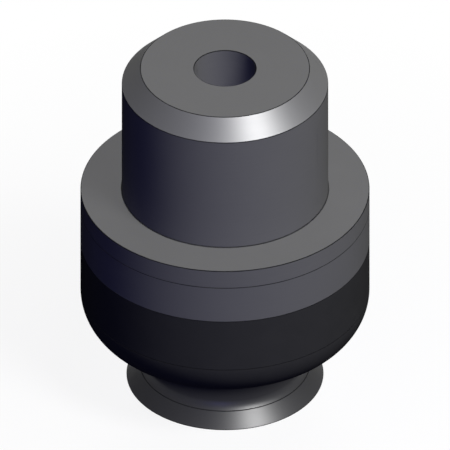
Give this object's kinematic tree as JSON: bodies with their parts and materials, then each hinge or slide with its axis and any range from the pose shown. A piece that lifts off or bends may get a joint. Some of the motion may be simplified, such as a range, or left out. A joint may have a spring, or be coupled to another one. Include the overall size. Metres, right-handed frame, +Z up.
{
  "type": "flat vacuum pad",
  "caption": "Small flat suction pad: a black rubber cup with a flared lip under a metal ring, on a turned nipple with a plain round shank and a through bore.",
  "frame": {"origin": "centre of the sealing lip's plane, which the pad stands on", "axes": "+Z up the pad's axis, from the lip to the end of the shank; the pad is round, so +X and +Y are any two directions square to it"},
  "size_m": [0.014, 0.014, 0.0181],
  "materials": {
    "nipple_metal": "fine turned, satin grey",
    "ring_metal": "fine turned, satin grey",
    "cup_rubber": "moulded, matt black"
  },
  "bodies": {
    "root": {"nipple": "nipple_metal", "support_ring": "ring_metal", "suction_cup": "cup_rubber"}
  },
  "joints": []
}
